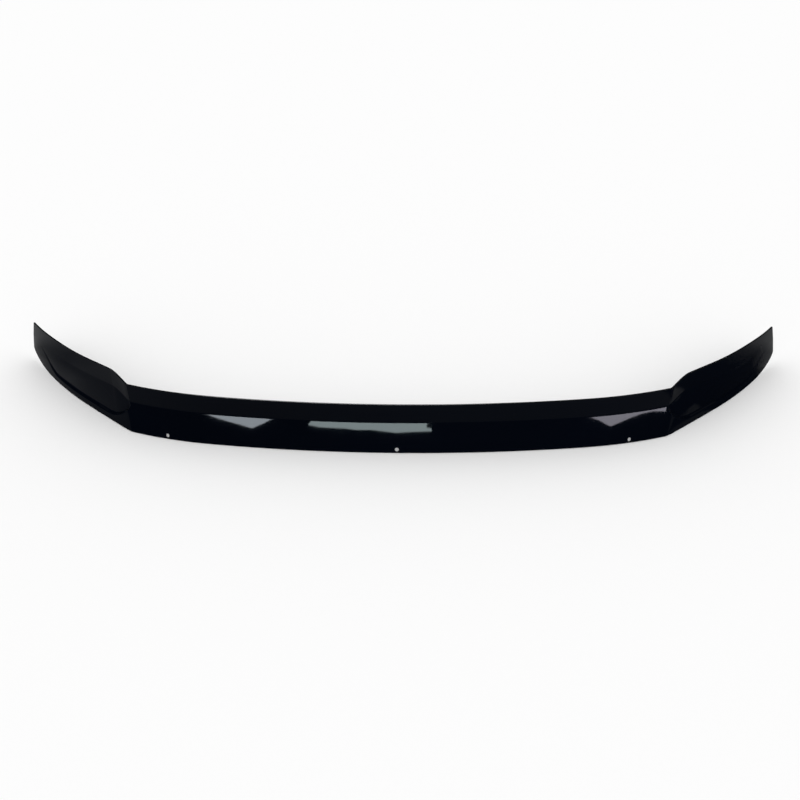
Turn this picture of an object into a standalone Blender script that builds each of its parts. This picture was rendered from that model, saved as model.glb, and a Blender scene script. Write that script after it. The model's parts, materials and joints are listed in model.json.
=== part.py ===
"""Hood bug deflector: one sheet of smoked acrylic, formed in one piece.

Units are metres and degrees, and +Z is up. X runs across the car, and -Y is the front of the car.
The deflector stands on its lower edge. The origin is at the bottom centre of its box.

A section is cut square to the lower edge, and it is read from the lower edge up: a face that leans
back, a crease, and a lip that stands steeper, so the lip throws the air upwards. Behind a sharp
corner on each side the sheet rises into a wing that lies over the headlamp. Each wing has a sunk
pan with a crisp outline, deepest at its inner end.
"""

import math

import bmesh
import bpy
from mathutils import Matrix, Vector

# Sheet
SHEET_THICKNESS = 0.003
EDGE_BREAK = 0.0007

# Lower edge seen from above, from the middle outwards: arcs that follow each other, each with its
# length and the angle by which it turns the edge towards the rear
NOSE_LENGTH = 0.337
NOSE_TURN = 6.6
FLANK_LENGTH = 0.144
FLANK_TURN = 10.5
CORNER_LENGTH = 0.0078
CORNER_TURN = 13.0
SHOULDER_LENGTH = 0.0126
SHOULDER_TURN = 6.5
WING_LENGTH = 0.1129
WING_TURN = 1.3
TIP_LENGTH = 0.2095
TIP_TURN = 17.5

# How far outwards the corner lies at the height of the crease and above it, so that its fold runs
# nearly straight back, and the reach over which the sections return from that skew to square
CORNER_SKEW = 0.0143
SKEW_FADE = 0.100

# Section in the middle: widths along the sheet, and leans from the horizontal
NOSE_FACE_WIDTH = 0.0554
NOSE_FACE_LEAN = 60.1
NOSE_LIP_WIDTH = 0.0391
NOSE_LIP_LEAN = 89.6

# Section at the wing's root, where its top has finished climbing
ROOT_FACE_WIDTH = 0.0706
ROOT_FACE_LEAN = 66.2
ROOT_LIP_WIDTH = 0.0366
ROOT_LIP_LEAN = 87.8

# Section at the wing's outer end
END_FACE_WIDTH = 0.0577
END_FACE_LEAN = 78.8
END_LIP_WIDTH = 0.0319
END_LIP_LEAN = 81.0

# Length behind the corner in which the sheet climbs from the middle section to the wing's root
RISE_LENGTH = 0.053

# The wing's outer end: its rounded lower corner, and how far its top is cut back
END_CORNER_LENGTH = 0.093
END_CORNER_HEIGHT = 0.0254
END_RAKE = 0.0227
END_RAKE_REACH = 0.129

# Sunk pan on the wing. Its wall runs along its lower edge, and is measured along the face
PAN_DEPTH = 0.004
PAN_WALL = 0.004
PAN_CROWN = 0.001
PAN_BORDER = 0.012
PAN_POINT_WIDTH = 0.011
PAN_INNER_MARGIN = 0.008
PAN_INNER_CURVE = 0.070
PAN_OUTER_CURVE = 0.090
PAN_OUTER_MARGIN = 0.026
PAN_INNER_FADE = 0.016
PAN_OUTER_FADE = 0.140

# Half the width of the strip of sheet that each crease bends
CREASE_HALF_WIDTH = 0.0016
BORDER_HALF_WIDTH = 0.0019

# Screw holes near the lower edge, placed by their distance along it
HOLE_DIAMETER = 0.007
HOLE_TO_EDGE = 0.006
HOLE_DISTANCES = (-0.415, 0.0, 0.415)
HOLE_SIDES = 24

# Number of steps between the sections that the sheet is lofted through
NOSE_STEPS = 13
FLANK_STEPS = 8
CORNER_STEPS = 3
SHOULDER_STEPS = 4
RISE_STEPS = 9
WING_STEPS = 7
TIP_STEPS = 10
END_CORNER_STEPS = 14
BEND_STEPS = 2

# Smoked acrylic
ACRYLIC_COLOUR = (0.004, 0.006, 0.011, 1.0)
ACRYLIC_ROUGHNESS = 0.08
ACRYLIC_IOR = 1.49

# Distances along the lower edge where something begins or ends
CORNER_START = NOSE_LENGTH + FLANK_LENGTH
CORNER_END = CORNER_START + CORNER_LENGTH
SHOULDER_END = CORNER_END + SHOULDER_LENGTH
RISE_END = CORNER_START + RISE_LENGTH
TIP_START = SHOULDER_END + WING_LENGTH
EDGE_END = TIP_START + TIP_LENGTH
END_CORNER_START = EDGE_END - END_CORNER_LENGTH
PAN_INNER_END = CORNER_START + PAN_INNER_MARGIN
PAN_POINT = EDGE_END - PAN_OUTER_MARGIN

NOSE_SECTION = (NOSE_FACE_WIDTH, NOSE_FACE_LEAN, NOSE_LIP_WIDTH, NOSE_LIP_LEAN)
ROOT_SECTION = (ROOT_FACE_WIDTH, ROOT_FACE_LEAN, ROOT_LIP_WIDTH, ROOT_LIP_LEAN)
END_SECTION = (END_FACE_WIDTH, END_FACE_LEAN, END_LIP_WIDTH, END_LIP_LEAN)


def clamp(value):
    """Limit a value to the range from 0 to 1."""
    return max(0.0, min(1.0, value))


def ease(value):
    """Go from 0 to 1 with a soft start and a soft end."""
    part = clamp(value)
    return part * part * (3.0 - 2.0 * part)


def mix(first, second, share):
    """Blend two equally long rows of numbers."""
    return [a + (b - a) * share for a, b in zip(first, second)]


def edge_arcs(corner_shift):
    """Return the length and turn of each arc, with the corner moved outwards along the edge."""
    return (
        (NOSE_LENGTH, NOSE_TURN),
        (FLANK_LENGTH + corner_shift, FLANK_TURN),
        (CORNER_LENGTH, CORNER_TURN),
        (SHOULDER_LENGTH, SHOULDER_TURN),
        (WING_LENGTH - corner_shift, WING_TURN),
        (TIP_LENGTH, TIP_TURN),
    )


def edge_at(distance, corner_shift):
    """Return x, y and heading of the edge at a distance from the middle."""
    x = 0.0
    y = 0.0
    heading = 0.0
    left = distance
    for length, turn in edge_arcs(corner_shift):
        run = min(left, length)
        radius = length / math.radians(turn)
        turned = heading + run / radius
        x += radius * (math.sin(turned) - math.sin(heading))
        y += radius * (math.cos(heading) - math.cos(turned))
        heading = turned
        left -= run
        if left <= 0.0:
            break
    return x, y, heading


def section_sizes(distance):
    """Return face width, face lean, lip width and lip lean at a distance along the edge."""
    if distance <= RISE_END:
        return mix(NOSE_SECTION, ROOT_SECTION, ease((distance - CORNER_START) / RISE_LENGTH))
    return mix(ROOT_SECTION, END_SECTION, (distance - RISE_END) / (EDGE_END - RISE_END))


def pan_share(distance):
    """Return the share of the pan's full depth: 0 outside the pan, 1 near its inner end."""
    inner = ease((distance - CORNER_START) / PAN_INNER_FADE)
    outer = ease((PAN_POINT - distance) / PAN_OUTER_FADE)
    return inner * outer


def pan_edge(distance, face_width):
    """Return how far up the face the pan's lower edge runs."""
    inner = clamp((PAN_INNER_END + PAN_INNER_CURVE - distance) / PAN_INNER_CURVE)
    outer = ease((distance - PAN_POINT + PAN_OUTER_CURVE) / PAN_OUTER_CURVE)
    climb = max(inner ** 3, outer)
    return PAN_BORDER + (face_width - PAN_BORDER - PAN_POINT_WIDTH) * climb


def front_of(direction):
    """Return the section's normal that points to the front."""
    return Vector((-direction.y, direction.x)).normalized()


def section_corners(distance):
    """Return the outer surface's corners: foot, pan border, pan sill, pan middle, crease, top.

    Each is (inset, height): the inset runs towards the rear, square to the lower edge.
    """
    face_width, face_lean, lip_width, lip_lean = section_sizes(distance)
    share = pan_share(distance)
    face = Vector((math.cos(math.radians(face_lean)), math.sin(math.radians(face_lean))))
    lip = Vector((math.cos(math.radians(lip_lean)), math.sin(math.radians(lip_lean))))

    corner = clamp((distance - END_CORNER_START) / END_CORNER_LENGTH)
    cut = END_CORNER_HEIGHT * (1.0 - math.sqrt(1.0 - corner * corner))
    foot = face * cut
    crease = face * face_width
    border = face * pan_edge(distance, face_width)
    sill = border + face * PAN_WALL - front_of(face) * (PAN_DEPTH * share)
    middle = (sill + crease) / 2.0 + front_of(crease - sill) * (PAN_CROWN * share)
    top = crease + lip * lip_width
    return foot, border, sill, middle, crease, top


def skew_share(distance):
    """Return how much of the corner's skew a section has: all of it behind the corner, none far off."""
    inner = ease((distance - CORNER_START + SKEW_FADE) / SKEW_FADE)
    outer = ease((RISE_END + SKEW_FADE - distance) / SKEW_FADE)
    return inner * outer


def rounded(before, corner, after, half_width):
    """Return points and normals of a bend: a parabola that is tangent to both sides."""
    start = corner + (before - corner).normalized() * half_width
    finish = corner + (after - corner).normalized() * half_width
    bend = []
    for step in range(BEND_STEPS + 1):
        t = step / BEND_STEPS
        point = start * (1.0 - t) ** 2 + corner * (2.0 * t * (1.0 - t)) + finish * t ** 2
        direction = (corner - start) * (1.0 - t) + (finish - corner) * t
        bend.append((point, front_of(direction)))
    return bend


def section_ring(distance, shrink=0.0):
    """Return the closed section of the sheet as (inset, height) points, front face first.

    A shrink pulls the whole outline in by that much, for the broken edge at the sheet's end.
    """
    foot, border, sill, middle, crease, top = section_corners(distance)
    broken = EDGE_BREAK - shrink / 2.0
    up_foot = (border - foot).normalized()
    up_top = (top - crease).normalized()

    front = [(foot + up_foot * (shrink + broken), front_of(up_foot))]
    front += rounded(foot, border, sill, BORDER_HALF_WIDTH)
    front += rounded(border, sill, middle, BORDER_HALF_WIDTH)
    front.append((middle, front_of(crease - sill)))
    front += rounded(middle, crease, top, CREASE_HALF_WIDTH)
    front.append((top - up_top * (shrink + broken), front_of(up_top)))

    near = shrink
    far = SHEET_THICKNESS - shrink
    ring = [point - normal * near for point, normal in front]
    rim = top - up_top * shrink
    ring.append(rim - front_of(up_top) * (near + broken))
    ring.append(rim - front_of(up_top) * (far - broken))
    ring += [point - normal * far for point, normal in reversed(front)]
    rim = foot + up_foot * shrink
    ring.append(rim - front_of(up_foot) * (far - broken))
    ring.append(rim - front_of(up_foot) * (near + broken))
    return ring


def place(distance, point):
    """Turn a section point into space; a negative distance is on the other side of the car."""
    reach = abs(distance)
    inset, height = point
    crease, top = section_corners(reach)[-2:]
    rake = END_RAKE * ease((reach - EDGE_END + END_RAKE_REACH) / END_RAKE_REACH)
    skew = CORNER_SKEW * clamp(height / crease.y)
    along = reach - rake * height / top.y + skew * skew_share(reach)
    x, y, heading = edge_at(along, skew)
    side = math.copysign(1.0, distance)
    return Vector((
        side * (x - math.sin(heading) * inset),
        y + math.cos(heading) * inset,
        height,
    ))


def steps_between(start, end, count):
    """Return evenly spaced distances after the start, up to the end."""
    return [start + (end - start) * step / count for step in range(1, count + 1)]


def half_stations():
    """Return the distances of the sections from the middle to the wing's end.

    The first pair lies half a step on each side of the middle. The last ones follow the rounded
    lower corner by equal angles, and stop short of the end by the edge's break.
    """
    whole_steps = 2 * NOSE_STEPS - 1
    distances = [NOSE_LENGTH * step / whole_steps for step in range(1, whole_steps + 1, 2)]
    distances += steps_between(NOSE_LENGTH, CORNER_START, FLANK_STEPS)
    distances += steps_between(CORNER_START, CORNER_END, CORNER_STEPS)
    distances += steps_between(CORNER_END, SHOULDER_END, SHOULDER_STEPS)
    distances += steps_between(SHOULDER_END, RISE_END, RISE_STEPS)
    distances += steps_between(RISE_END, TIP_START, WING_STEPS)
    distances += steps_between(TIP_START, END_CORNER_START, TIP_STEPS)
    last_angle = math.asin(1.0 - EDGE_BREAK / END_CORNER_LENGTH)
    for angle in steps_between(0.0, last_angle, END_CORNER_STEPS):
        distances.append(END_CORNER_START + END_CORNER_LENGTH * math.sin(angle))
    return distances


def loft(rings, bm):
    """Skin the closed rings one after the other, and return their vertices."""
    rows = [[bm.verts.new(point) for point in ring] for ring in rings]
    count = len(rows[0])
    for row, following in zip(rows, rows[1:]):
        for index in range(count):
            other = (index + 1) % count
            bm.faces.new((row[index], following[index], following[other], row[other]))
    return rows


def cap(row, faces_right, bm):
    """Close an end of the sheet with quads from its front edge to its back edge."""
    half = len(row) // 2
    near = [row[-1]] + row[:half - 1]
    far = row[half - 1:-1][::-1]
    for index in range(half - 1):
        quad = [near[index], near[index + 1], far[index + 1], far[index]]
        if faces_right:
            quad.reverse()
        bm.faces.new(quad)


def deflector_mesh():
    """Loft the sheet from one wing end to the other and stand it on its lower edge."""
    half = half_stations()
    rings = []
    for distance in [-value for value in reversed(half)] + half:
        rings.append([place(distance, point) for point in section_ring(abs(distance))])
    end_ring = section_ring(EDGE_END, EDGE_BREAK)
    rings.insert(0, [place(-EDGE_END, point) for point in end_ring])
    rings.append([place(EDGE_END, point) for point in end_ring])

    bm = bmesh.new()
    rows = loft(rings, bm)
    cap(rows[0], False, bm)
    cap(rows[-1], True, bm)
    return bm


def standing_shift(bm):
    """Return the move that puts the origin at the bottom centre of the box."""
    ys = [vertex.co.y for vertex in bm.verts]
    zs = [vertex.co.z for vertex in bm.verts]
    return Vector((0.0, -(min(ys) + max(ys)) / 2.0, -min(zs)))


def acrylic():
    """Glossy smoked acrylic, so dark that it looks black."""
    material = bpy.data.materials.new("smoked_acrylic")
    material.use_nodes = True
    shader = material.node_tree.nodes["Principled BSDF"]
    shader.inputs["Base Color"].default_value = ACRYLIC_COLOUR
    shader.inputs["Roughness"].default_value = ACRYLIC_ROUGHNESS
    shader.inputs["Metallic"].default_value = 0.0
    shader.inputs["IOR"].default_value = ACRYLIC_IOR
    return material


def link(name, bm):
    """Make an object from a bmesh and put it in the scene."""
    mesh = bpy.data.meshes.new(name)
    bm.to_mesh(mesh)
    bm.free()
    thing = bpy.data.objects.new(name, mesh)
    bpy.context.scene.collection.objects.link(thing)
    return thing


def hole_cutter(number, distance, shift):
    """Place a round cutter square to the face, through a screw hole."""
    foot, border = section_corners(abs(distance))[:2]
    up = (border - foot).normalized()
    centre = foot + up * HOLE_TO_EDGE
    inside = place(distance, centre - front_of(up) * SHEET_THICKNESS)
    outside = place(distance, centre)
    axis = (outside - inside).normalized()
    turn = axis.to_track_quat("Z", "Y").to_matrix().to_4x4()
    middle = (outside + inside) / 2.0 + shift

    bm = bmesh.new()
    bmesh.ops.create_cone(
        bm,
        cap_ends=True,
        segments=HOLE_SIDES,
        radius1=HOLE_DIAMETER / 2.0,
        radius2=HOLE_DIAMETER / 2.0,
        depth=SHEET_THICKNESS * 3.0,
        matrix=Matrix.Translation(middle) @ turn,
    )
    cutter = link("screw_hole_%d" % number, bm)
    cutter.hide_render = True
    cutter.display_type = "WIRE"
    return cutter


def deflector():
    """Make the deflector and drill its screw holes."""
    bm = deflector_mesh()
    shift = standing_shift(bm)
    bmesh.ops.translate(bm, vec=shift, verts=bm.verts)
    shell = link("deflector_shell", bm)
    shell.data.materials.append(acrylic())
    shell.data.shade_smooth()
    shell.data.set_sharp_from_angle(angle=math.radians(30.0))
    for number, distance in enumerate(HOLE_DISTANCES, start=1):
        drill = shell.modifiers.new("screw_hole_%d" % number, "BOOLEAN")
        drill.operation = "DIFFERENCE"
        drill.solver = "EXACT"
        drill.object = hole_cutter(number, distance, shift)
    return shell


def main():
    for thing in list(bpy.data.objects):
        bpy.data.objects.remove(thing, do_unlink=True)
    deflector()


main()
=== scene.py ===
# %% [markdown]
# # A hood bug deflector in smoked acrylic
#
# The real part is one sheet of smoked acrylic. It is cut flat, heated until it is limp, and draped over
# a mould. This lesson makes it in the same order: a flat blank is laid out as a grid, each of its
# points is moved to its place on the mould, and the finish, the light and the camera follow.
#
# All values are in metres and degrees. X runs across the car, -Y is the front of the car and +Z is up.
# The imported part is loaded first, as the fixed shape that the dressed one has to agree with.

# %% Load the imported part
import json
import math

import bmesh
import bpy
from mathutils import Matrix, Vector
from mathutils.geometry import intersect_line_plane

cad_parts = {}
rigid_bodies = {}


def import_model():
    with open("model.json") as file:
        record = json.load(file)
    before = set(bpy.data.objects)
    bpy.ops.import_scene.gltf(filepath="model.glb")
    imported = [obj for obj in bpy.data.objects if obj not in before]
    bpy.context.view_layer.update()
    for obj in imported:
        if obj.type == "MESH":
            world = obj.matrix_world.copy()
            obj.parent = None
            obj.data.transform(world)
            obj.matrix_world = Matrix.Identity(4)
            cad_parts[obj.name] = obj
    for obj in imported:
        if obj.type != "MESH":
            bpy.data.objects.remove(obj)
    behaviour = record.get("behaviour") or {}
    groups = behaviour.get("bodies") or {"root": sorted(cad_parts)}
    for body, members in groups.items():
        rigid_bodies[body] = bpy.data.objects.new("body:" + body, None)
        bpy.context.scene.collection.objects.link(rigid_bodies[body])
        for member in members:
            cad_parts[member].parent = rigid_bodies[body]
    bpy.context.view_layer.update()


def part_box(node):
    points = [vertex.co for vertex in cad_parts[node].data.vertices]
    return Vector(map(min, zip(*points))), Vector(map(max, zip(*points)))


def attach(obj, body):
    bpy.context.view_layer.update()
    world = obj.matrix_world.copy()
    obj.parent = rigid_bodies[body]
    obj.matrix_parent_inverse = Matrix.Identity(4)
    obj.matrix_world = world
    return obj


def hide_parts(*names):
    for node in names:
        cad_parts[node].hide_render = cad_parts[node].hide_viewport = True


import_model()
cad_low, cad_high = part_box("deflector_shell")
print("the packed part measures", [round(value, 4) for value in cad_high - cad_low])

# %% [markdown]
# ## Helpers for colours, nodes and objects
#
# Shaders want linear values, while colours are picked in sRGB, so one function converts them. A second
# one adds a node with its settings and its links, which keeps each material a short list. The last one
# turns a finished bmesh into an object, because every piece of the scene ends that way.

# %% Colours, nodes and objects
BYTE_MAX = 255.0
SRGB_KNEE, SRGB_SLOPE = 0.04045, 12.92
SRGB_OFFSET, SRGB_POWER = 0.055, 2.4


def linear_value(value):
    """Turn one sRGB value from 0 to 1 into a linear one."""
    if value <= SRGB_KNEE:
        return value / SRGB_SLOPE
    return ((value + SRGB_OFFSET) / (1.0 + SRGB_OFFSET)) ** SRGB_POWER


def hex_colour(text):
    """Turn an sRGB hex value into the linear colour that a shader wants."""
    channels = [int(text[start:start + 2], 16) / BYTE_MAX for start in (1, 3, 5)]
    return (*map(linear_value, channels), 1.0)


def add_node(tree, kind, settings=None, values=None, links=None):
    """Add a node, set its settings and its sockets' values, and link its inputs."""
    node = tree.nodes.new(kind)
    for name, value in (settings or {}).items():
        setattr(node, name, value)
    for name, value in (values or {}).items():
        node.inputs[name].default_value = value
    for name, socket in (links or {}).items():
        tree.links.new(socket, node.inputs[name])
    return node


def new_material(name):
    """Return a material with an empty node tree, and the tree."""
    material = bpy.data.materials.new(name)
    material.use_nodes = True
    material.node_tree.nodes.clear()
    return material, material.node_tree


def add_object(name, bm, *materials):
    """Turn a bmesh into an object of the scene, with its materials in this order."""
    mesh = bpy.data.meshes.new(name)
    bm.to_mesh(mesh)
    bm.free()
    for material in materials:
        mesh.materials.append(material)
    made = bpy.data.objects.new(name, mesh)
    bpy.context.scene.collection.objects.link(made)
    return made


print("a white of #ffffff is", hex_colour("#ffffff"))

# %% [markdown]
# ## Smoked acrylic
#
# Cast acrylic with a deep blue-black smoke lets so little light through that the sheet looks black.
# Its refractive index is 1.49, and its skin is as smooth as glass, so it shows lamps sharply. Forming
# leaves a very shallow ripple, about a hand's breadth long, which bends the edges of those
# reflections, and polishing leaves a haze in patches of a few fingers' width. The photograph shows
# hardly any veil of reflected floor on it, so the specular level is taken down until the blacks match.

# %% The sheet's own material
SMOKE_LENGTH, SMOKE_DETAIL = 0.250, 1.0
SMOKE_DARK, SMOKE_LIGHT = "#020409", "#04070f"
HAZE_LENGTH, HAZE_DETAIL = 0.030, 3.0
HAZE_LOW, HAZE_HIGH = 0.3, 0.7
SKIN_SMOOTH, SKIN_HAZY = 0.015, 0.025
RIPPLE_LENGTH, RIPPLE_DETAIL = 0.090, 1.0
RIPPLE_HEIGHT = 0.00003
ACRYLIC_IOR = 1.49
ACRYLIC_SPECULAR = 0.0235
# The colour mix is found by number: its factor, its two colours and its result.
MIX_FACTOR, MIX_FIRST, MIX_SECOND, MIX_RESULT = 0, 6, 7, 2


def smoked_acrylic():
    """Blue-black cast acrylic with a forming ripple and a faint polishing haze."""
    material, tree = new_material("smoked_cast_acrylic")
    place = add_node(tree, "ShaderNodeTexCoord").outputs["Object"]
    smoke = add_node(
        tree, "ShaderNodeTexNoise",
        values={"Scale": 1.0 / SMOKE_LENGTH, "Detail": SMOKE_DETAIL}, links={"Vector": place},
    )
    colour = add_node(
        tree, "ShaderNodeMix", {"data_type": "RGBA"},
        {MIX_FIRST: hex_colour(SMOKE_DARK), MIX_SECOND: hex_colour(SMOKE_LIGHT)},
        {MIX_FACTOR: smoke.outputs[0]},
    )
    haze = add_node(
        tree, "ShaderNodeTexNoise",
        values={"Scale": 1.0 / HAZE_LENGTH, "Detail": HAZE_DETAIL}, links={"Vector": place},
    )
    gloss = add_node(
        tree, "ShaderNodeMapRange",
        values={"From Min": HAZE_LOW, "From Max": HAZE_HIGH, "To Min": SKIN_SMOOTH, "To Max": SKIN_HAZY},
        links={"Value": haze.outputs[0]},
    )
    ripple = add_node(
        tree, "ShaderNodeTexNoise",
        values={"Scale": 1.0 / RIPPLE_LENGTH, "Detail": RIPPLE_DETAIL}, links={"Vector": place},
    )
    bump = add_node(
        tree, "ShaderNodeBump",
        values={"Strength": 1.0, "Distance": RIPPLE_HEIGHT}, links={"Height": ripple.outputs[0]},
    )
    shader = add_node(
        tree, "ShaderNodeBsdfPrincipled",
        values={"IOR": ACRYLIC_IOR, "Specular IOR Level": ACRYLIC_SPECULAR, "Metallic": 0.0},
        links={
            "Base Color": colour.outputs[MIX_RESULT],
            "Roughness": gloss.outputs[0],
            "Normal": bump.outputs[0],
        },
    )
    add_node(tree, "ShaderNodeOutputMaterial", links={"Surface": shader.outputs[0]})
    return material


skin = smoked_acrylic()
print("the skin has", len(skin.node_tree.nodes), "nodes")

# %% [markdown]
# ## The cut edge
#
# The rim was sawn and then scraped, so it is a little rougher and lighter than the moulded skin, and it
# catches the light as a thin bright line. Saw marks of 2 mm stand for the finer real ones, which are
# too fine to show.

# %% The rim's material
SAW_MARK_LENGTH, SAW_MARK_DETAIL = 0.002, 2.0
RIM_SCRAPED, RIM_SAWN = 0.12, 0.26
RIM_COLOUR = "#0a0c10"
RIM_SPECULAR = 0.06


def scraped_edge():
    """Sawn and scraped acrylic rim, slightly grey."""
    material, tree = new_material("scraped_acrylic_edge")
    place = add_node(tree, "ShaderNodeTexCoord").outputs["Object"]
    marks = add_node(
        tree, "ShaderNodeTexNoise",
        values={"Scale": 1.0 / SAW_MARK_LENGTH, "Detail": SAW_MARK_DETAIL}, links={"Vector": place},
    )
    gloss = add_node(
        tree, "ShaderNodeMapRange",
        values={"To Min": RIM_SCRAPED, "To Max": RIM_SAWN}, links={"Value": marks.outputs[0]},
    )
    shader = add_node(
        tree, "ShaderNodeBsdfPrincipled",
        values={
            "Base Color": hex_colour(RIM_COLOUR),
            "IOR": ACRYLIC_IOR,
            "Specular IOR Level": RIM_SPECULAR,
        },
        links={"Roughness": gloss.outputs[0]},
    )
    add_node(tree, "ShaderNodeOutputMaterial", links={"Surface": shader.outputs[0]})
    return material


rim = scraped_edge()
print("the rim has", len(rim.node_tree.nodes), "nodes")

# %% [markdown]
# ## The line that the sheet stands on
#
# Seen from above, the lower edge is six arcs on each side of the car that run into each other: a nose,
# a flank, a tight corner, a shoulder, the wing and its tip. Such a line could be drawn as a spline, but
# arcs have a real length and a real turn, so they can be measured and changed one by one.

# %% The lower edge, as arcs with a length and a turn
MILLIMETRE = 0.001

NOSE_LENGTH, NOSE_TURN = 0.337, 6.6
FLANK_LENGTH, FLANK_TURN = 0.144, 10.5
CORNER_LENGTH, CORNER_TURN = 0.0078, 13.0
SHOULDER_LENGTH, SHOULDER_TURN = 0.0126, 6.5
WING_LENGTH, WING_TURN = 0.1129, 1.3
TIP_LENGTH, TIP_TURN = 0.2095, 17.5

CORNER_START = NOSE_LENGTH + FLANK_LENGTH
CORNER_END = CORNER_START + CORNER_LENGTH
SHOULDER_END = CORNER_END + SHOULDER_LENGTH
TIP_START = SHOULDER_END + WING_LENGTH
EDGE_END = TIP_START + TIP_LENGTH


def edge_arcs(corner_shift):
    """Return the length and turn of each arc, with the corner moved outwards along the edge."""
    return (
        (NOSE_LENGTH, NOSE_TURN),
        (FLANK_LENGTH + corner_shift, FLANK_TURN),
        (CORNER_LENGTH, CORNER_TURN),
        (SHOULDER_LENGTH, SHOULDER_TURN),
        (WING_LENGTH - corner_shift, WING_TURN),
        (TIP_LENGTH, TIP_TURN),
    )


def edge_at(distance, corner_shift):
    """Return x, y and heading of the edge at a distance from the middle of the car."""
    x, y, heading, left = 0.0, 0.0, 0.0, distance
    for length, turn in edge_arcs(corner_shift):
        run = min(left, length)
        radius = length / math.radians(turn)
        turned = heading + run / radius
        x += radius * (math.sin(turned) - math.sin(heading))
        y += radius * (math.cos(heading) - math.cos(turned))
        heading = turned
        left -= run
        if left <= 0.0:
            break
    return x, y, heading


print("the edge is %.0f mm long on each side" % (EDGE_END / MILLIMETRE))

# %% [markdown]
# ## The section of the sheet
#
# Cut square to that edge, the sheet shows a face that leans back, a crease, and a lip that stands
# upright and throws the air upwards. Behind the corner the section grows. Three sections are described,
# in the middle, at the wing's root and at its end, and what lies between them is blended. Drawing every
# section by hand would let the surface wander between them.

# %% Sections, and how they blend along the edge
# A section is the face's width and lean, and then the lip's width and lean.
NOSE_SECTION = (0.0554, 60.1, 0.0391, 89.6)
ROOT_SECTION = (0.0706, 66.2, 0.0366, 87.8)
END_SECTION = (0.0577, 78.8, 0.0319, 81.0)
RISE_LENGTH = 0.053
RISE_END = CORNER_START + RISE_LENGTH


def clamp(value):
    """Limit a value to the range from 0 to 1."""
    return max(0.0, min(1.0, value))


def ease(value):
    """Go from 0 to 1 with a soft start and a soft end."""
    part = clamp(value)
    return part * part * (3.0 - 2.0 * part)


def section_sizes(distance):
    """Return face width, face lean, lip width and lip lean at a distance along the edge."""
    if distance <= RISE_END:
        first, second = NOSE_SECTION, ROOT_SECTION
        share = ease((distance - CORNER_START) / RISE_LENGTH)
    else:
        first, second = ROOT_SECTION, END_SECTION
        share = (distance - RISE_END) / (EDGE_END - RISE_END)
    return [a + (b - a) * share for a, b in zip(first, second)]


halfway = (SHOULDER_END + EDGE_END) / 2.0
print("halfway along the wing:", [round(value, 4) for value in section_sizes(halfway)])

# %% [markdown]
# ## The sunk pan
#
# Each wing has a shallow pan in the shape of a leaf: a crisp lower edge with a border below it, a
# rounded inner end, and an outer end that runs out to a point before the wing's end. It could be
# pressed in as a second shape, but here it is part of every section: a border, a wall down to the sill,
# and a floor with a slight crown that comes back up to the crease. Where the pan's depth fades to
# nothing the section is the plain face again, so there is no seam.

# %% How deep the pan is and where its edge runs
PAN_DEPTH, PAN_WALL, PAN_CROWN = 0.004, 0.004, 0.001
PAN_BORDER, PAN_POINT_WIDTH = 0.012, 0.011
PAN_TO_CORNER, PAN_TO_WING_END = 0.008, 0.026
PAN_INNER_CURVE, PAN_INNER_POWER = 0.070, 3
PAN_OUTER_CURVE = 0.090
PAN_INNER_FADE, PAN_OUTER_FADE = 0.016, 0.140
PAN_INNER_END = CORNER_START + PAN_TO_CORNER
PAN_POINT = EDGE_END - PAN_TO_WING_END


def pan_share(distance):
    """Return the share of the pan's full depth: 0 outside the pan, 1 near its inner end."""
    inner = ease((distance - CORNER_START) / PAN_INNER_FADE)
    outer = ease((PAN_POINT - distance) / PAN_OUTER_FADE)
    return inner * outer


def pan_edge(distance, face_width):
    """Return how far up the face the pan's lower edge runs."""
    inner = clamp((PAN_INNER_END + PAN_INNER_CURVE - distance) / PAN_INNER_CURVE)
    outer = ease((distance - PAN_POINT + PAN_OUTER_CURVE) / PAN_OUTER_CURVE)
    climb = max(inner ** PAN_INNER_POWER, outer)
    return PAN_BORDER + (face_width - PAN_BORDER - PAN_POINT_WIDTH) * climb


print("the pan's border is %.0f mm wide and the pan %.0f mm deep"
      % (PAN_BORDER / MILLIMETRE, PAN_DEPTH / MILLIMETRE))

# %% [markdown]
# ## The corners of a section
#
# A section is drawn as straight sides between corners, from the foot to the top. Its two directions are
# how far it is set back and how high it stands. Near the wing's end the foot climbs the face along a
# quarter of an ellipse, which rounds off the lower outer corner without trimming the sheet afterwards.

# %% From the foot to the top
END_CORNER_LENGTH, END_CORNER_HEIGHT = 0.093, 0.0254
END_CORNER_START = EDGE_END - END_CORNER_LENGTH


def leaning(degrees):
    """Return the direction up a surface that leans back from the horizontal."""
    return Vector((math.cos(math.radians(degrees)), math.sin(math.radians(degrees))))


def front_of(direction):
    """Return the section's normal that points to the front."""
    return Vector((-direction.y, direction.x)).normalized()


def section_corners(distance):
    """Return foot, pan border, pan sill, pan crown, crease and top, as (inset, height)."""
    face_width, face_lean, lip_width, lip_lean = section_sizes(distance)
    face, lip = leaning(face_lean), leaning(lip_lean)
    share = pan_share(distance)
    corner = clamp((distance - END_CORNER_START) / END_CORNER_LENGTH)
    foot = face * (END_CORNER_HEIGHT * (1.0 - math.sqrt(1.0 - corner * corner)))
    crease = face * face_width
    border = face * pan_edge(distance, face_width)
    sill = border + face * PAN_WALL - front_of(face) * (PAN_DEPTH * share)
    crown = (sill + crease) / 2.0 + front_of(crease - sill) * (PAN_CROWN * share)
    return foot, border, sill, crown, crease, crease + lip * lip_width


print("the middle section is %.0f mm high" % (section_corners(0.0)[-1].y / MILLIMETRE))

# %% [markdown]
# ## From the section to space
#
# A point of the section is set back square to the edge. Two things bend that rule on the real part: the
# fold at the corner runs nearly straight back, so the corner lies further out as it climbs, and the top
# of the wing's end is cut back. Both are small shifts along the edge that grow with the height.

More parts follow.
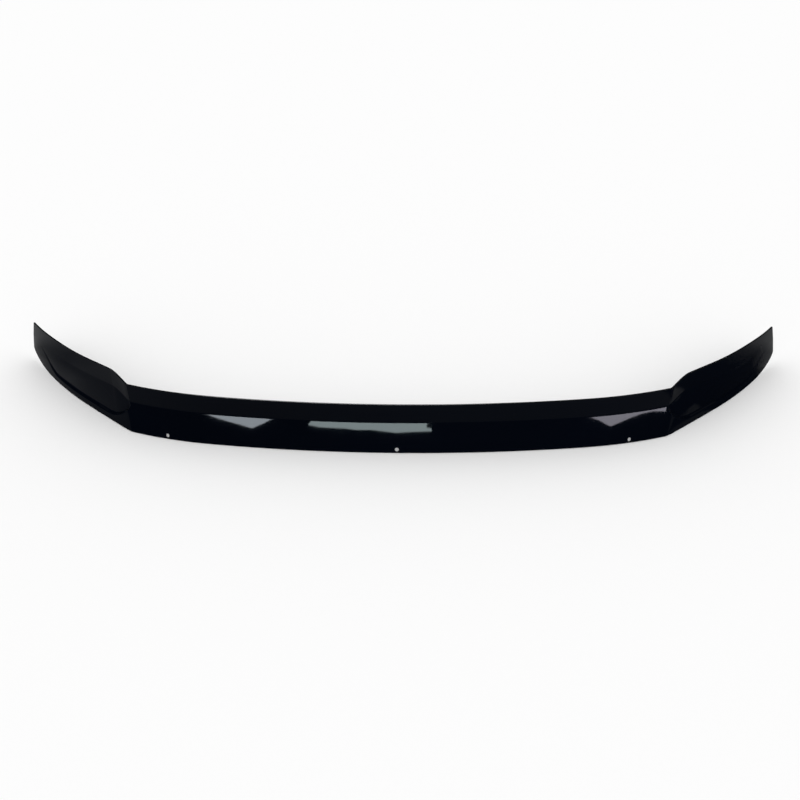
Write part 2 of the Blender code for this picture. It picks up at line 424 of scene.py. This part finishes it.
# %% Place a point of the section
CORNER_SKEW, SKEW_FADE = 0.0143, 0.100
END_RAKE, END_RAKE_REACH = 0.0227, 0.129


def skew_share(distance):
    """Return how much of the corner's skew a section has."""
    inner = ease((distance - CORNER_START + SKEW_FADE) / SKEW_FADE)
    outer = ease((RISE_END + SKEW_FADE - distance) / SKEW_FADE)
    return inner * outer


def on_the_mould(distance, point):
    """Turn a section point into space; a negative distance is on the other side of the car."""
    reach = abs(distance)
    inset, height = point
    crease, top = section_corners(reach)[-2:]
    rake = END_RAKE * ease((reach - EDGE_END + END_RAKE_REACH) / END_RAKE_REACH)
    skew = CORNER_SKEW * clamp(height / crease.y)
    along = reach - rake * height / top.y + skew * skew_share(reach)
    x, y, heading = edge_at(along, skew)
    side = math.copysign(1.0, distance)
    return Vector((
        side * (x - math.sin(heading) * inset),
        y + math.cos(heading) * inset,
        height,
    ))


print("the wing's tip stands at", on_the_mould(EDGE_END, section_corners(EDGE_END)[-1]))

# %% [markdown]
# ## Round every fold
#
# Hot acrylic can't be folded sharp, and a saw-cut edge is broken by hand, so each fold and each edge is
# a short curve. One function draws them all: a parabola that starts along one side and ends along the
# other. The same curve, much longer, gives the pan its slight crown. Each point keeps the direction of
# its line, which tells later where the other surface of the sheet lies.

# %% The outer surface of a section
EDGE_BREAK = 0.0007
BORDER_HALF_WIDTH = 0.0019
CREASE_HALF_WIDTH = 0.0016
STRIP_ROWS, FOLD_ROWS, PAN_ROWS = 6, 5, 10


def curve(start, control, finish, rows):
    """Return points and directions of a parabola, without its start."""
    line = []
    for row in range(1, rows + 1):
        t = row / rows
        point = start * (1.0 - t) ** 2 + control * (2.0 * t * (1.0 - t)) + finish * t ** 2
        direction = (control - start) * (1.0 - t) + (finish - control) * t
        line.append((point, direction.normalized()))
    return line


def towards(start, finish, length):
    """Return the point at that length on the way from start to finish."""
    return start + (finish - start).normalized() * length


def outer_line(distance, shrink):
    """Return points and directions of the outer surface, from its broken foot to its broken top."""
    foot, border, sill, crown, crease, top = section_corners(distance)
    lead = EDGE_BREAK + shrink / 2.0
    first, last = towards(foot, border, lead), towards(top, crease, lead)
    border_low, border_high = (towards(border, end, BORDER_HALF_WIDTH) for end in (foot, sill))
    sill_low, sill_high = (towards(sill, end, BORDER_HALF_WIDTH) for end in (border, crown))
    crease_low, crease_high = (towards(crease, end, CREASE_HALF_WIDTH) for end in (crown, top))
    line = [(first, (border_low - first).normalized())]
    line += curve(first, (first + border_low) / 2.0, border_low, STRIP_ROWS)
    line += curve(border_low, border, border_high, FOLD_ROWS)
    line += curve(border_high, (border_high + sill_low) / 2.0, sill_low, 1)
    line += curve(sill_low, sill, sill_high, FOLD_ROWS)
    line += curve(sill_high, crown, crease_low, PAN_ROWS)
    line += curve(crease_low, crease, crease_high, FOLD_ROWS)
    line += curve(crease_high, (crease_high + last) / 2.0, last, STRIP_ROWS)
    return line


OUTER_ROWS = len(outer_line(0.0, 0.0)) - 1
print("the outer surface has", OUTER_ROWS, "rows")

# %% [markdown]
# ## The thickness and the rims
#
# The sheet is 3 mm thick. A Solidify modifier could add that, but it leaves square rims, so the inner
# surface is drawn here, set back from the outer one, and each rim joins the two with both its edges
# broken. At the wing's end the whole section shrinks a little, which breaks the edges there as well.

# %% The closed line around the sheet's section
SHEET_THICKNESS = 0.003
BREAK_ROWS = 3
RIM_ROWS = 2 * BREAK_ROWS + 1


def rim_line(start, end, way, broken):
    """Return the points around a rim from start to end, which both lie this much before the rim."""
    inwards = (end - start).normalized()
    near, far = start + way * broken, end + way * broken
    line = [point for point, _ in curve(start, near, near + inwards * broken, BREAK_ROWS)]
    line.append(far - inwards * broken)
    line += [point for point, _ in curve(line[-1], far, end, BREAK_ROWS)]
    return line


def section_line(distance, shrink=0.0):
    """Return the closed line around the sheet: outer surface, top rim, inner surface, lower rim."""
    outer = outer_line(distance, shrink)
    broken = EDGE_BREAK - shrink / 2.0
    set_back = SHEET_THICKNESS - shrink
    front = [point - front_of(direction) * shrink for point, direction in outer]
    back = [point - front_of(direction) * set_back for point, direction in reversed(outer)]
    top_rim = rim_line(front[-1], back[0], outer[-1][1], broken)
    lower_rim = rim_line(back[-1], front[0], -outer[0][1], broken)
    return front + top_rim + back[1:] + lower_rim


ROWS_AROUND = len(section_line(0.0)) - 1
print("a section has", ROWS_AROUND, "rows around it")

# %% [markdown]
# ## Where the sections lie
#
# A curve that is nearly straight needs few sections and a tight corner needs many. The rounded lower
# corner of the wing is walked by equal angles, because equal lengths would leave its last bit coarse.

# %% The distances of the sections
# Each stretch runs from the one before to this distance, in so many steps.
STRETCHES = (
    (NOSE_LENGTH, 96),
    (CORNER_START, 44),
    (CORNER_END, 8),
    (SHOULDER_END, 10),
    (RISE_END, 20),
    (TIP_START, 28),
    (END_CORNER_START, 40),
)
END_CORNER_STEPS = 36
QUARTER_TURN = 90.0


def half_stations():
    """Return the distance and the shrink of each section, from the middle to the wing's end."""
    found, start = [], 0.0
    for end, count in STRETCHES:
        found += [(start + (end - start) * step / count, 0.0) for step in range(1, count + 1)]
        start = end
    last_angle = math.asin(1.0 - EDGE_BREAK / END_CORNER_LENGTH)
    for step in range(1, END_CORNER_STEPS + 1):
        angle = last_angle * step / END_CORNER_STEPS
        found.append((END_CORNER_START + END_CORNER_LENGTH * math.sin(angle), 0.0))
    for step in range(1, BREAK_ROWS + 1):
        angle = math.radians(QUARTER_TURN) * step / BREAK_ROWS
        before_end = EDGE_BREAK * (1.0 - math.sin(angle))
        found.append((EDGE_END - before_end, EDGE_BREAK * (1.0 - math.cos(angle))))
    return found


half = half_stations()
stations = [(-distance, shrink) for distance, shrink in reversed(half)] + [(0.0, 0.0)] + half
print(len(stations), "sections from one wing's end to the other")

# %% [markdown]
# ## Lay out the blank
#
# The blank starts as a flat grid from one operator, one unit wide and one high. Its columns become the
# sections and its rows run around the sheet, so that the grid can close on itself like a sleeve. The
# rows of the two rims get the second finish, the cut edge, while the grid is still flat and they are
# easy to find.

# %% The flat blank
BLANK_HALF = 0.5
SKIN_SLOT, RIM_SLOT = 0, 1
COLUMNS = len(stations) - 1


def flat_blank():
    """Return the blank as a flat grid, with its rims marked for the second finish."""
    bm = bmesh.new()
    bmesh.ops.create_grid(bm, x_segments=COLUMNS, y_segments=ROWS_AROUND, size=BLANK_HALF)
    for face in bm.faces:
        row = (face.calc_center_median().y + BLANK_HALF) * ROWS_AROUND
        on_top_rim = OUTER_ROWS < row < OUTER_ROWS + RIM_ROWS
        on_lower_rim = row > 2 * OUTER_ROWS + RIM_ROWS
        face.material_index = RIM_SLOT if on_top_rim or on_lower_rim else SKIN_SLOT
        face.smooth = True
    return bm


sheet_bm = flat_blank()
print("the blank has", len(sheet_bm.faces), "faces")

# %% [markdown]
# ## Drape the blank over the mould
#
# Every point of the grid knows its column and its row, so it can be sent straight to its place. A bend
# modifier could curve the sheet too, but not around arcs of several radii at once. Then the sleeve's
# seam is merged and its two open ends are closed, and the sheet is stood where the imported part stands.

# %% Drape, close and stand the sheet
MERGE_DISTANCE = 1e-6
# The middle section has no side, so it is moved out of the middle by a hair.
OFF_THE_MIDDLE = 1e-9
CUBIC_CENTIMETRE = 1e-6


def drape(bm):
    """Send each point of the blank to its place on the mould."""
    lines = [section_line(abs(distance), shrink) for distance, shrink in stations]
    for vertex in bm.verts:
        column = round((vertex.co.x + BLANK_HALF) * COLUMNS)
        row = round((vertex.co.y + BLANK_HALF) * ROWS_AROUND)
        vertex.co = on_the_mould(stations[column][0] or OFF_THE_MIDDLE, lines[column][row])


def close_sleeve(bm):
    """Merge the seam, close the two ends as cut edge, and turn all faces outwards."""
    bmesh.ops.remove_doubles(bm, verts=bm.verts, dist=MERGE_DISTANCE)
    ends = bmesh.ops.holes_fill(bm, edges=[edge for edge in bm.edges if edge.is_boundary])
    for face in ends["faces"]:
        face.material_index = RIM_SLOT
    bmesh.ops.recalc_face_normals(bm, faces=bm.faces)
    if bm.calc_volume(signed=True) < 0.0:
        bmesh.ops.reverse_faces(bm, faces=bm.faces)


def stand_as_packed(bm):
    """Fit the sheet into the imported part's box, stand it there, and return how far it was moved."""
    low = Vector(min(vertex.co[axis] for vertex in bm.verts) for axis in range(3))
    high = Vector(max(vertex.co[axis] for vertex in bm.verts) for axis in range(3))
    fit = Vector(min(1.0, cad / own) for cad, own in zip(cad_high - cad_low, high - low))
    bmesh.ops.scale(bm, verts=bm.verts, vec=fit)
    middle = (cad_low + cad_high - fit * (low + high)) / 2.0
    moved = Vector((0.0, middle.y, cad_low.z - fit.z * low.z))
    bmesh.ops.translate(bm, verts=bm.verts, vec=moved)
    return moved


drape(sheet_bm)
close_sleeve(sheet_bm)
stand = stand_as_packed(sheet_bm)
volume = sheet_bm.calc_volume() / CUBIC_CENTIMETRE
print("sheet:", len(sheet_bm.faces), "faces,", round(volume, 1), "cubic centimetres")
sheet = add_object("formed_sheet", sheet_bm, skin, rim)

# %% [markdown]
# ## Drill the screw holes
#
# Three holes near the lower edge take the screws of the clips. A hole could be left open in the grid,
# but a Boolean with a round cutter is how a drill works too, and it leaves clean round walls. The
# cutters are made by one operator each and thrown away once the cut is applied.

# %% Three holes
HOLE_DIAMETER = 0.007
HOLE_TO_EDGE = 0.006
HOLE_DISTANCES = (-0.415, 0.0, 0.415)
DRILL_SIDES = 48
DRILL_LENGTH = SHEET_THICKNESS * 3.0


def up_the_face(distance):
    """Return the direction up the face at a distance along the edge."""
    _, face_lean, _, _ = section_sizes(abs(distance))
    return leaning(face_lean)


def drill_for(distance):
    """Return a round cutter that stands square to the face, through a screw hole."""
    up = up_the_face(distance)
    centre = up * HOLE_TO_EDGE
    outside = on_the_mould(distance or OFF_THE_MIDDLE, centre)
    inside = on_the_mould(distance or OFF_THE_MIDDLE, centre - front_of(up) * SHEET_THICKNESS)
    turn = (outside - inside).to_track_quat("Z", "Y").to_matrix().to_4x4()
    bm = bmesh.new()
    bmesh.ops.create_cone(
        bm,
        cap_ends=True,
        segments=DRILL_SIDES,
        radius1=HOLE_DIAMETER / 2.0,
        radius2=HOLE_DIAMETER / 2.0,
        depth=DRILL_LENGTH,
        matrix=Matrix.Translation((outside + inside) / 2.0 + stand) @ turn,
    )
    return add_object("drill", bm)


def drill_holes(piece):
    """Cut the screw holes and keep the result as the piece's own mesh."""
    cutters = [drill_for(distance) for distance in HOLE_DISTANCES]
    for cutter in cutters:
        cut = piece.modifiers.new("drill", "BOOLEAN")
        cut.object = cutter
        cut.operation = "DIFFERENCE"
        cut.solver = "EXACT"
    bpy.context.view_layer.update()
    seen = piece.evaluated_get(bpy.context.evaluated_depsgraph_get())
    drilled = bpy.data.meshes.new_from_object(seen)
    piece.modifiers.clear()
    piece.data = drilled
    for cutter in cutters:
        bpy.data.objects.remove(cutter, do_unlink=True)


before = len(sheet.data.polygons)
drill_holes(sheet)
sheet.data.name = "formed_sheet"
rim_faces = sum(polygon.material_index == RIM_SLOT for polygon in sheet.data.polygons)
print("faces before and after drilling:", before, len(sheet.data.polygons), "of them rim:", rim_faces)

# %% [markdown]
# ## Even shading
#
# Soft shading runs over every fold, and only edges sharper than 40 degrees, such as those of the holes,
# stay crisp. A rim's narrow faces would tilt the shading of the broad faces beside them. The Weighted
# Normal modifier lets the broad faces win, so the gloss runs flat right up to the broken edge.

# %% Shade the sheet, attach it to the root and hide the imported part
SHARP_ANGLE = 40.0
BROAD_FACE_WEIGHT = 80

sheet.data.shade_smooth()
sheet.data.set_sharp_from_angle(angle=math.radians(SHARP_ANGLE))
even = sheet.modifiers.new("even_shading", "WEIGHTED_NORMAL")
even.mode = "FACE_AREA"
even.weight = BROAD_FACE_WEIGHT
even.keep_sharp = True
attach(sheet, "root")
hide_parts("deflector_shell")
print("the dressed sheet measures", [round(value, 4) for value in sheet.dimensions])

# %% [markdown]
# ## The camera
#
# The photograph looks down on the deflector from the front. The camera is described as one would place
# a tripod: what it looks at, how far away, how high, how far to the side, and how level it is. Its
# lens follows from the focal length in pixels, because that is what a photograph can be measured for.

# %% Aim the camera
FRAME_WIDTH_PX = 800
FOCAL_LENGTH_PX = 1041.37
SENSOR_WIDTH_MM = 36.0
CAMERA_ELEVATION = 40.0
CAMERA_YAW = 1.853
CAMERA_ROLL = -0.759
CAMERA_DISTANCE = 1.85
CAMERA_AIM = Vector((0.00468, -0.06813, 0.06481))

camera_data = bpy.data.cameras.new("camera")
camera_data.sensor_width = SENSOR_WIDTH_MM
camera_data.lens = FOCAL_LENGTH_PX / FRAME_WIDTH_PX * SENSOR_WIDTH_MM
camera = bpy.data.objects.new("camera", camera_data)
camera_turn = (
    Matrix.Rotation(math.radians(CAMERA_YAW), 4, "Z")
    @ Matrix.Rotation(math.radians(QUARTER_TURN - CAMERA_ELEVATION), 4, "X")
    @ Matrix.Rotation(math.radians(CAMERA_ROLL), 4, "Z")
)
camera_place = CAMERA_AIM + camera_turn.to_3x3() @ Vector((0.0, 0.0, CAMERA_DISTANCE))
camera.matrix_world = Matrix.Translation(camera_place) @ camera_turn
bpy.context.scene.collection.objects.link(camera)
bpy.context.scene.camera = camera
print("the camera stands at", camera_place, "with a lens of %.1f mm" % camera_data.lens)

# %% [markdown]
# ## The floor and the room
#
# The deflector stands on a pale matt floor in a white room, whose light is even and soft and leaves
# only a faint shadow. Lamps with hard shadows would be the other way, but the photograph shows none. At
# a strength of 1 the room is shown as plain white and nothing on the floor clips.

# %% Floor and room
FLOOR_SIZE = 16.0
FLOOR_COLOUR, FLOOR_ROUGHNESS = "#fdfdfd", 0.9
ROOM_COLOUR, ROOM_STRENGTH = "#ffffff", 1.0

floor_material, floor_tree = new_material("pale_studio_floor")
floor_shader = add_node(
    floor_tree, "ShaderNodeBsdfPrincipled",
    values={
        "Base Color": hex_colour(FLOOR_COLOUR),
        "Roughness": FLOOR_ROUGHNESS,
        "Specular IOR Level": 0.0,
    },
)
add_node(floor_tree, "ShaderNodeOutputMaterial", links={"Surface": floor_shader.outputs[0]})
floor_bm = bmesh.new()
bmesh.ops.create_grid(floor_bm, x_segments=1, y_segments=1, size=FLOOR_SIZE / 2.0)
floor = add_object("floor", floor_bm, floor_material)

room = bpy.data.worlds.new("white_room")
room.use_nodes = True
room.node_tree.nodes.clear()
bpy.context.scene.world = room
room_light = add_node(
    room.node_tree, "ShaderNodeBackground",
    values={"Color": hex_colour(ROOM_COLOUR), "Strength": ROOM_STRENGTH},
)
add_node(room.node_tree, "ShaderNodeOutputWorld", links={"Surface": room_light.outputs[0]})
print("the floor is", FLOOR_SIZE, "m wide and long")

# %% [markdown]
# ## Three light patches on the face
#
# The photograph shows three light patches on the face, cut off along the crease. Each is the mirror
# image of a lamp that hangs in front, above the camera's line. A patch is drawn on the sheet first, by
# its corners: how far along the lower edge and how far up the face. Above the crease the lip looks at
# the floor, so a patch that is drawn past the crease ends there by itself.

# %% The patches, with the colour and strength of their lamps
PATCH_TOP = 0.0640
LAMP_PATCHES = {
    "lamp_left": (
        "#dfe9f2", 162.0,
        (
            (-0.376, PATCH_TOP), (-0.341, 0.0538), (-0.323, 0.0486), (-0.299, 0.0435),
            (-0.281, 0.0404), (-0.259, 0.0352), (-0.254, 0.0377), (-0.240, 0.0442),
            (-0.227, 0.0523), (-0.208, PATCH_TOP),
        ),
    ),
    "lamp_middle": (
        "#d5e7e9", 144.0,
        (
            (-0.147, PATCH_TOP), (-0.152, 0.0552), (-0.158, 0.0465), (-0.137, 0.0429),
            (-0.092, 0.0426), (-0.074, 0.0404), (-0.043, 0.0411), (-0.021, 0.0387),
            (-0.003, 0.0367), (0.019, 0.0380), (0.061, 0.0395), (0.062, 0.0445),
            (0.053, 0.0460), (0.053, 0.0541), (0.062, 0.0560), (0.062, PATCH_TOP),
        ),
    ),
    "lamp_right": (
        "#e5e2f0", 114.0,
        (
            (0.322, PATCH_TOP), (0.345, 0.0540), (0.362, 0.0467), (0.371, 0.0408),
            (0.381, 0.0347), (0.384, 0.0350), (0.400, 0.0397), (0.419, 0.0461),
            (0.436, 0.0502), (0.452, 0.0513), (0.464, 0.0493), (0.477, 0.0470),
            (0.477, PATCH_TOP),
        ),
    ),
}
for name, (_, _, patch) in LAMP_PATCHES.items():
    wide = max(distance for distance, _ in patch) - min(distance for distance, _ in patch)
    print("the patch of", name, "is %.0f mm wide" % (wide / MILLIMETRE))

# %% [markdown]
# ## Mirror a patch to a wall of lamps
#
# From each point of a patch the camera's line of sight is mirrored in the sheet, as on a billiard
# table, and the lamp's point is where that line meets a wall of lamps in front. The lamps could be
# pushed about by eye instead, but the face is curved both ways and each guess would take a render.

# %% Follow the mirrored line of sight
LAMP_WALL_Y = -2.6
LAMP_SIDE_STEPS = 6
NORMAL_STEP = 0.001


def on_the_face(distance, climb):
    """Return a point this far up the face, also past the crease, where the face would run on."""
    return on_the_mould(distance, up_the_face(distance) * climb) + stand


def mirrored_to_the_wall(distance, climb):
    """Return where the camera's line of sight, mirrored in the face, meets the wall of lamps."""
    point = on_the_face(distance, climb)
    along = on_the_face(distance + NORMAL_STEP, climb) - on_the_face(distance - NORMAL_STEP, climb)
    upwards = on_the_face(distance, climb + NORMAL_STEP) - on_the_face(distance, climb - NORMAL_STEP)
    normal = along.cross(upwards).normalized()
    sight = (point - camera_place).normalized()
    mirrored = sight - normal * (2.0 * sight.dot(normal))
    wall, wall_front = Vector((0.0, LAMP_WALL_Y, 0.0)), Vector((0.0, 1.0, 0.0))
    return intersect_line_plane(point, point + mirrored, wall, wall_front)


def patch_outline(corners):
    """Return points all along the outline of a patch, because its straight sides bend on the wall."""
    outline = []
    for here, there in zip(corners, corners[1:] + corners[:1]):
        for step in range(LAMP_SIDE_STEPS):
            share = step / LAMP_SIDE_STEPS
            outline.append([a + (b - a) * share for a, b in zip(here, there)])
    return outline


print("the middle of the crease mirrors", mirrored_to_the_wall(0.0, NOSE_SECTION[0]))

# %% [markdown]
# ## Hang the lamps
#
# A lamp is a flat panel with plain light on it. The acrylic mirrors so little that such a lamp has to
# be over a hundred times as bright as the room to show as it does. As a real lamp it would flood the
# floor with light, so the panels are seen in reflections only: the camera, the matt surfaces and the
# shadows know nothing of them.

# %% Panels that only the gloss sees


def lamp_light(name, colour, strength):
    """Plain light of one colour."""
    material, tree = new_material(name)
    light = add_node(
        tree, "ShaderNodeEmission", values={"Color": hex_colour(colour), "Strength": strength},
    )
    add_node(tree, "ShaderNodeOutputMaterial", links={"Surface": light.outputs[0]})
    return material


def show_to_gloss_only(panel):
    """Hide a panel from the camera, matt surfaces and shadows: it is seen in reflections and neither
    lights nor shades anything.
    """
    panel.visible_camera = False
    panel.visible_diffuse = False
    panel.visible_transmission = False
    panel.visible_shadow = False


def hang_lamp(name, colour, strength, corners):
    """Hang a flat lamp with these corners that only the gloss sees."""
    bm = bmesh.new()
    bm.faces.new([bm.verts.new(corner) for corner in corners])
    show_to_gloss_only(add_object(name, bm, lamp_light(name, colour, strength)))
    middle = sum((Vector(corner) for corner in corners), Vector()) / len(corners)
    print(name, "hangs at", [round(value, 2) for value in middle])


for name, (colour, strength, patch) in LAMP_PATCHES.items():
    hang_lamp(name, colour, strength, [mirrored_to_the_wall(*corner) for corner in patch_outline(patch)])

# %% [markdown]
# ## A strip lamp behind
#
# The fourth lamp is a long strip behind the deflector. The cut rim looks up, so it mirrors what hangs
# behind, and a stretch of it, left of the middle, shines as a thin line.

# %% The strip lamp
STRIP_COLOUR, STRIP_STRENGTH = "#f2f2f6", 55.0
STRIP_Y = 1.60
STRIP_LOW, STRIP_HIGH = 1.35, 1.70
STRIP_LEFT, STRIP_RIGHT = -0.80, 0.28

hang_lamp("lamp_behind", STRIP_COLOUR, STRIP_STRENGTH, (
    (STRIP_LEFT, STRIP_Y, STRIP_LOW),
    (STRIP_RIGHT, STRIP_Y, STRIP_LOW),
    (STRIP_RIGHT, STRIP_Y, STRIP_HIGH),
    (STRIP_LEFT, STRIP_Y, STRIP_HIGH),
))

# %% [markdown]
# ## Dark walls that only reflections see
#
# With something white all around it the gloss would look milky. So charcoal walls are hung that only
# reflections see: the camera doesn't see them, the room's light passes through them, and they paint
# dark reflections. The face mirrors them between the lamps, and they draw the dark line along the pan's
# wall, which is a painted dark reflection too. Such a panel carries how much of it there is as an
# attribute of its points, so that it can also fade out.

# %% Charcoal for painted dark reflections, and the walls
CLOTH_COLOUR = "#505050"
WALL_RADIUS, WALL_HEIGHT, WALL_SIDES = 4.5, 4.0, 64
FULL_COVER = 1.0


def dark_reflection_charcoal():
    """Matt charcoal for panels that paint dark reflections; the attribute "cover" tells how much of it
    there is.
    """
    material, tree = new_material("dark_reflection_charcoal")
    woven = add_node(
        tree, "ShaderNodeBsdfPrincipled",
        values={"Base Color": hex_colour(CLOTH_COLOUR), "Roughness": 1.0, "Specular IOR Level": 0.0},
    )
    cover = add_node(tree, "ShaderNodeAttribute", {"attribute_name": "cover"})
    nothing = add_node(tree, "ShaderNodeBsdfTransparent")
    mixed = add_node(
        tree, "ShaderNodeMixShader",
        links={0: cover.outputs["Fac"], 1: nothing.outputs[0], 2: woven.outputs[0]},
    )
    add_node(tree, "ShaderNodeOutputMaterial", links={"Surface": mixed.outputs[0]})
    return material


charcoal = dark_reflection_charcoal()


def hang_dark_reflection(name, bm, faded, cover):
    """Hang a charcoal panel that only reflections see, a painted dark reflection, with this cover, and
    none at its first vertices, as many as faded says.
    """
    layer = bm.verts.layers.float.new("cover")
    for index, vertex in enumerate(bm.verts):
        vertex[layer] = 0.0 if index < faded else cover
    show_to_gloss_only(add_object(name, bm, charcoal))


# Walls that only reflections see: they paint dark reflections all around the sheet.
walls_bm = bmesh.new()
bmesh.ops.create_cone(
    walls_bm,
    cap_ends=False,
    segments=WALL_SIDES,
    radius1=WALL_RADIUS,
    radius2=WALL_RADIUS,
    depth=WALL_HEIGHT,
    matrix=Matrix.Translation((0.0, 0.0, WALL_HEIGHT / 2.0)),
)
hang_dark_reflection("dark_walls", walls_bm, 0, FULL_COVER)
print("the walls are", WALL_HEIGHT, "m high and", 2.0 * WALL_RADIUS, "m apart")

# %% [markdown]
# ## Painted dark reflections beside the wings
#
# One more charcoal panel, which only reflections see, lies just above the floor beside the right wing
# and paints a darker reflection on that wing, because the photograph shows that wing darker than the
# left one. A fainter one lies by each wing's tip and paints the reflection on the border there a shade
# darker than the end beside it. Each is drawn as two rings with as many corners: full inside the inner
# ring, and fading to nothing at the outer one. Where the rings lie far apart, as towards the wing's tip,
# the reflection gets lighter little by little.

# %% Panels beside the wings that paint dark reflections
DARK_REFLECTION_HEIGHT, TIP_REFLECTION_HEIGHT = 0.002, 0.003
TIP_REFLECTION_COVER = 0.58
DARK_REFLECTION_OUTER = (
    (0.545, -0.170), (0.545, -0.075), (0.560, -0.056), (0.588, -0.054), (0.600, -0.047),
    (0.592, -0.040), (0.578, -0.034), (0.576, 0.000), (0.600, 0.045), (0.650, 0.085),
    (0.710, 0.115), (0.800, 0.130), (0.900, 0.030), (0.900, -0.170),
)
DARK_REFLECTION_INNER = (
    (0.560, -0.170), (0.560, -0.085), (0.572, -0.064), (0.596, -0.060), (0.616, -0.047),
    (0.600, -0.034), (0.588, -0.028), (0.590, 0.000), (0.612, 0.035), (0.655, 0.070),
    (0.700, 0.088), (0.750, 0.085), (0.725, 0.020), (0.760, -0.170),
)
TIP_REFLECTION_OUTER = (
    (0.660, 0.060), (0.695, -0.030), (0.770, -0.040), (0.830, 0.060), (0.815, 0.140),
    (0.790, 0.175), (0.700, 0.175),
)
TIP_REFLECTION_INNER = (
    (0.732, 0.080), (0.732, 0.050), (0.755, 0.050), (0.768, 0.085), (0.768, 0.130),
    (0.755, 0.145), (0.732, 0.145),
)


def two_rings(outer, inner, height):
    """Return a flat mesh that fills the inner ring and joins it to the outer one."""
    bm = bmesh.new()
    faded = [bm.verts.new((x, y, height)) for x, y in outer]
    full = [bm.verts.new((x, y, height)) for x, y in inner]
    bm.faces.new(full)
    for here in range(len(faded)):
        there = (here + 1) % len(faded)
        bm.faces.new((faded[here], faded[there], full[there], full[here]))
    return bm


# Painted dark reflection on the right wing: a charcoal panel that only reflections see.
dark_reflection_bm = two_rings(DARK_REFLECTION_OUTER, DARK_REFLECTION_INNER, DARK_REFLECTION_HEIGHT)
hang_dark_reflection("dark_cloth", dark_reflection_bm, len(DARK_REFLECTION_OUTER), FULL_COVER)
# Fainter painted dark reflections on the border by each wing's tip.
for name, side in (("left_tip_cloth", -1.0), ("right_tip_cloth", 1.0)):
    outer, inner = ([(side * x, y) for x, y in ring] for ring in (TIP_REFLECTION_OUTER, TIP_REFLECTION_INNER))
    hang_dark_reflection(name, two_rings(outer, inner, TIP_REFLECTION_HEIGHT), len(outer), TIP_REFLECTION_COVER)
unseen = [panel for panel in bpy.data.objects if not panel.visible_camera]
print("the gloss sees", len(unseen), "panels")

# %% [markdown]
# ## How the picture is shown
#
# Colours are shown as they are, with the standard view.

# %% Show it
bpy.context.scene.view_settings.view_transform = "Standard"
